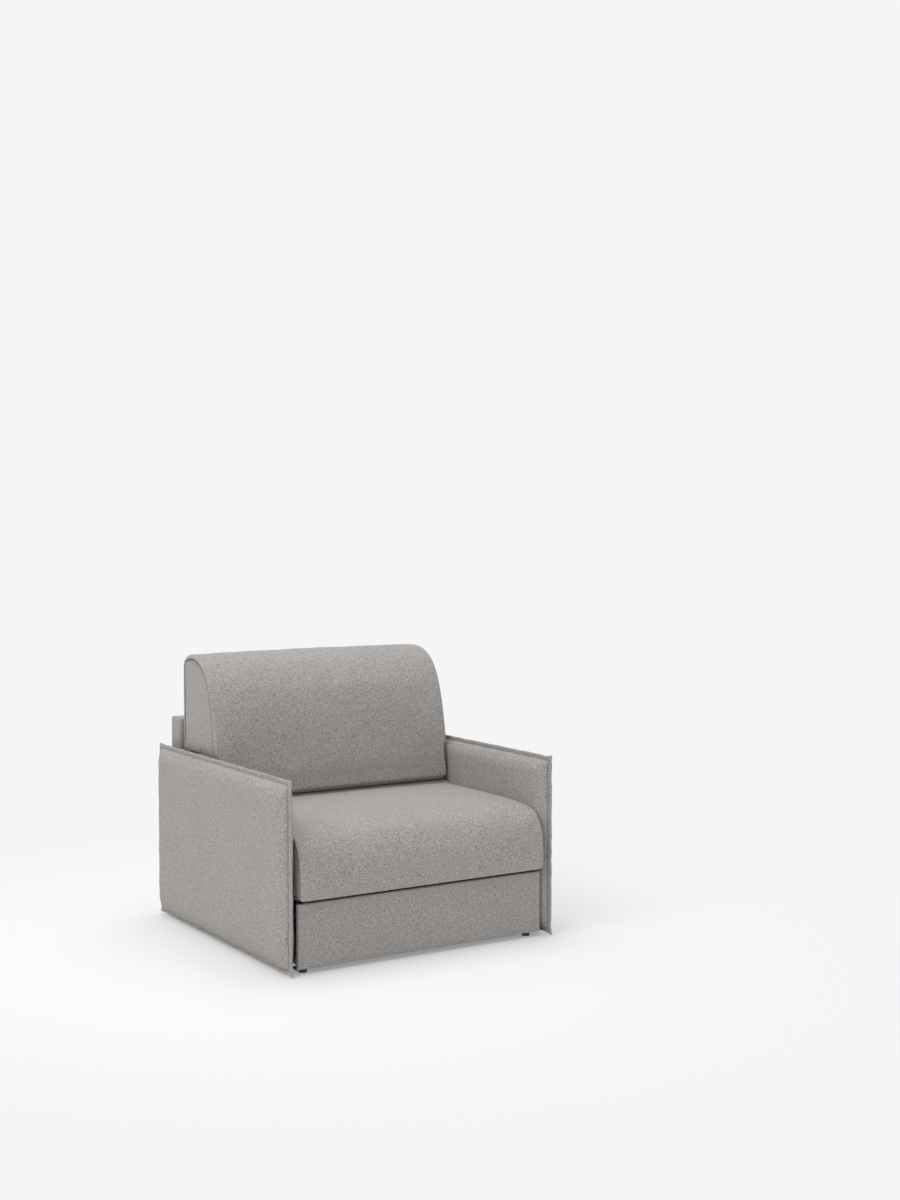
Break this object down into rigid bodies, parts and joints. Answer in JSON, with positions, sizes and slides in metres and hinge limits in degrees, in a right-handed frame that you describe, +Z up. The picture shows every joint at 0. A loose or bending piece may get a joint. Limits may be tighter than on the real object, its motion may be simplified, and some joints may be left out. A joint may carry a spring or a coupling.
{
  "type": "convertible chair bed",
  "caption": "Upholstered box armchair whose seat and back unfold forwards on a lifting steel frame into a single bed.",
  "frame": {"origin": "middle of the chair's width and depth when closed, on the floor", "axes": "+X across the seat, +Y from the front towards the back, +Z up"},
  "size_m": [0.955, 0.96, 0.869],
  "materials": {
    "cover_fabric": "matte",
    "cushion_fabric": "matte",
    "mattress_fabric": "matte",
    "board_wood": "matte",
    "black_steel": "satin",
    "link_steel": "satin",
    "bright_steel": "satin",
    "mesh_steel": "satin",
    "black_plastic": "matte"
  },
  "bodies": {
    "base": {"arm_board_left": "board_wood", "arm_board_right": "board_wood", "arm_cover_left": "cover_fabric", "arm_cover_right": "cover_fabric", "plinth_board": "board_wood", "plinth_cover": "cover_fabric", "rear_panel_board": "board_wood", "rear_panel_cover": "cover_fabric", "side_plate_left": "black_steel", "side_plate_right": "black_steel", "arm_bolts": "bright_steel", "corner_brackets": "black_steel", "feet": "black_plastic", "base_cross_tube": "black_steel", "lift_pins": "bright_steel"},
    "front_lift": {"front_link_left": "link_steel", "front_link_right": "link_steel", "front_lift_shaft": "bright_steel"},
    "rear_lift": {"rear_link_left": "link_steel", "rear_link_right": "link_steel", "rear_lift_shaft": "bright_steel"},
    "head_section": {"head_side_rails": "black_steel", "head_cross_rails": "black_steel", "head_hinge_plates": "link_steel", "head_mesh": "mesh_steel", "head_mattress": "mattress_fabric"},
    "seat_section": {"seat_side_rails": "black_steel", "seat_cross_rails": "black_steel", "seat_hinge_plates": "link_steel", "fold_hinge_pins": "bright_steel", "seat_lugs": "link_steel", "back_hinge_pins": "bright_steel", "middle_legs": "black_steel", "middle_leg_tips": "black_plastic", "seat_mesh": "mesh_steel", "seat_mattress": "mattress_fabric", "seat_cushion": "cushion_fabric"},
    "back_section": {"back_side_rails": "black_steel", "back_cross_rails": "black_steel", "back_lugs": "link_steel", "foot_leg_pins": "bright_steel", "back_mesh": "mesh_steel", "back_mattress": "mattress_fabric", "back_cushion": "cushion_fabric"},
    "foot_leg_left": {"foot_leg_left": "black_steel", "foot_leg_tip_left": "black_plastic"},
    "foot_leg_right": {"foot_leg_right": "black_steel", "foot_leg_tip_right": "black_plastic"}
  },
  "joints": [
    {"name": "fold", "type": "hinge", "parent": "head_section", "child": "seat_section", "pos_m": [0, -0.401, 0.115], "axis": [1, 0, 0], "range_deg": [0, 180]},
    {"name": "front_lift", "type": "hinge", "parent": "base", "child": "front_lift", "pos_m": [0, -0.33726, 0.11052], "axis": [1, 0, 0], "range_deg": [0, 102]},
    {"name": "rear_lift", "type": "hinge", "parent": "base", "child": "rear_lift", "pos_m": [0, -0.03726, 0.11052], "axis": [1, 0, 0], "range_deg": [0, 102]},
    {"name": "head_level", "type": "hinge", "parent": "front_lift", "child": "head_section", "pos_m": [0, -0.156, 0.026], "axis": [1, 0, 0], "range_deg": [-102, 0]},
    {"name": "back_fold", "type": "hinge", "parent": "seat_section", "child": "back_section", "pos_m": [0, 0.283, 0.204], "axis": [1, 0, 0], "range_deg": [-90, 0]},
    {"name": "foot_leg_left_swing", "type": "hinge", "parent": "back_section", "child": "foot_leg_left", "pos_m": [0, 0.283, 0.51], "axis": [1, 0, 0], "range_deg": [-90, 0]},
    {"name": "foot_leg_right_swing", "type": "hinge", "parent": "back_section", "child": "foot_leg_right", "pos_m": [0, 0.283, 0.51], "axis": [1, 0, 0], "range_deg": [-90, 0]}
  ],
  "couplings": [
    {"joint": "front_lift", "follows": "fold", "ratio": 0.56667},
    {"joint": "rear_lift", "follows": "fold", "ratio": 0.56667},
    {"joint": "head_level", "follows": "fold", "ratio": -0.56667},
    {"joint": "back_fold", "follows": "fold", "ratio": -0.5},
    {"joint": "foot_leg_left_swing", "follows": "fold", "ratio": -0.5},
    {"joint": "foot_leg_right_swing", "follows": "fold", "ratio": -0.5}
  ]
}
